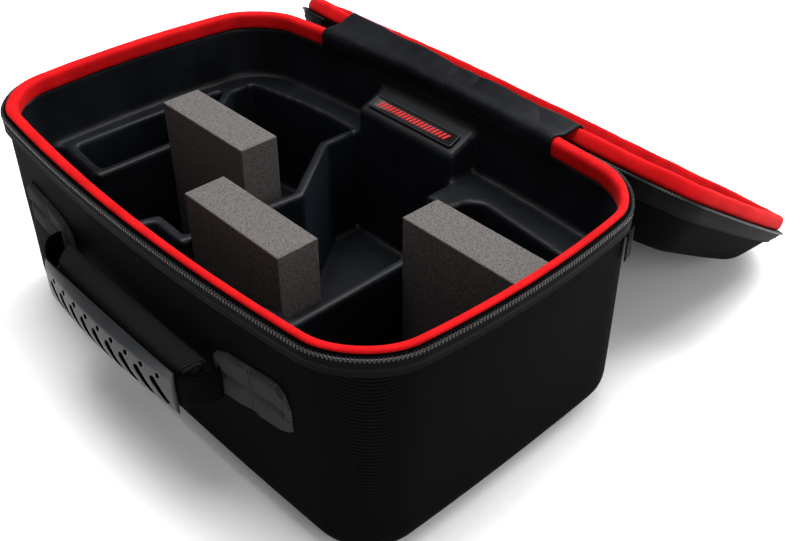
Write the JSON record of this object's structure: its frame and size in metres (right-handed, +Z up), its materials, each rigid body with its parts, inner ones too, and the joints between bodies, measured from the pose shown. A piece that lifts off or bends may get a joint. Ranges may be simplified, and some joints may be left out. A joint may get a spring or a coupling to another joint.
{
  "type": "carry case",
  "caption": "Zipped soft-shell carry case with a hinged lid, a moulded divider tray, foam spacers and a padded front handle.",
  "frame": {"origin": "centre of the base's bottom face", "axes": "+X along the long side, -Y towards the handle, +Y towards the lid's hinge, +Z up"},
  "size_m": [0.3427, 0.4299, 0.1388],
  "materials": {
    "nylon": "matte twill",
    "red_binding": "velvety",
    "zip_tape": "matte",
    "zip_coil": "satin",
    "tricot": "soft sheen",
    "label_rubber": "satin",
    "webbing": "matte",
    "patch_fabric": "matte, stitched",
    "hinge_fabric": "smooth",
    "grip_rubber": "satin",
    "slider_metal": "satin",
    "foam": "open-cell foam"
  },
  "bodies": {
    "base": {"base_shell": "nylon", "base_binding": "red_binding", "base_zip_tape": "zip_tape", "base_zip_coil": "zip_coil", "tray_liner": "tricot", "divider_left": "tricot", "divider_middle": "tricot", "divider_right": "tricot", "ledge_left": "tricot", "ledge_back_left": "tricot", "ledge_back_right": "tricot", "label_boss": "tricot", "label_plate": "label_rubber", "side_tag": "webbing", "handle_patch_left": "patch_fabric", "handle_patch_right": "patch_fabric", "hinge_cover_base": "hinge_fabric"},
    "lid": {"lid_shell": "nylon", "lid_lining": "tricot", "lid_binding": "red_binding", "lid_zip_tape": "zip_tape", "lid_zip_coil": "zip_coil", "hinge_cover_lid": "hinge_fabric"},
    "handle": {"handle_strap": "webbing", "handle_pad": "nylon", "handle_grip": "grip_rubber"},
    "slider_left": {"zip_slider_left": "slider_metal"},
    "slider_right": {"zip_slider_right": "slider_metal"},
    "pull_left": {"pull_tab_left": "slider_metal"},
    "pull_right": {"pull_tab_right": "slider_metal"},
    "foam_left": {"foam_spacer_left": "foam"},
    "foam_middle": {"foam_spacer_middle": "foam"},
    "foam_right": {"foam_spacer_right": "foam"}
  },
  "joints": [
    {"name": "lid_hinge", "type": "hinge", "parent": "base", "child": "lid", "pos_m": [0, 0.1102, 0.1315], "axis": [-0.9999, 0, 0.014], "range_deg": [-212.3, 0], "deforming": ["lid_binding", "base_binding", "hinge_cover_base", "hinge_cover_lid"]},
    {"name": "handle_hinge", "type": "hinge", "parent": "base", "child": "handle", "pos_m": [0, -0.1085, 0.088], "axis": [-1, 0, 0], "range_deg": [0, 75]},
    {"name": "zip_slide_left", "type": "slide", "parent": "base", "child": "slider_left", "axis": [-0.9947, -0.1029, 0], "range_m": [0, 0.02]},
    {"name": "pull_hinge_left", "type": "hinge", "parent": "slider_left", "child": "pull_left", "pos_m": [-0.12186, 0.10835, 0.1245], "axis": [0.9947, 0.1029, 0], "range_deg": [0, 20]},
    {"name": "zip_slide_right", "type": "slide", "parent": "base", "child": "slider_right", "axis": [0.9947, -0.1029, 0], "range_m": [0, 0.02]},
    {"name": "pull_hinge_right", "type": "hinge", "parent": "slider_right", "child": "pull_right", "pos_m": [0.12186, 0.10835, 0.1245], "axis": [0.9947, -0.1029, 0], "range_deg": [0, 20]},
    {"name": "foam_lift_left", "type": "slide", "parent": "base", "child": "foam_left", "axis": [0, 0, 1], "range_m": [0, 0.14]},
    {"name": "foam_lift_middle", "type": "slide", "parent": "base", "child": "foam_middle", "axis": [0, 0, 1], "range_m": [0, 0.14]},
    {"name": "foam_lift_right", "type": "slide", "parent": "base", "child": "foam_right", "axis": [0, 0, 1], "range_m": [0, 0.14]}
  ]
}
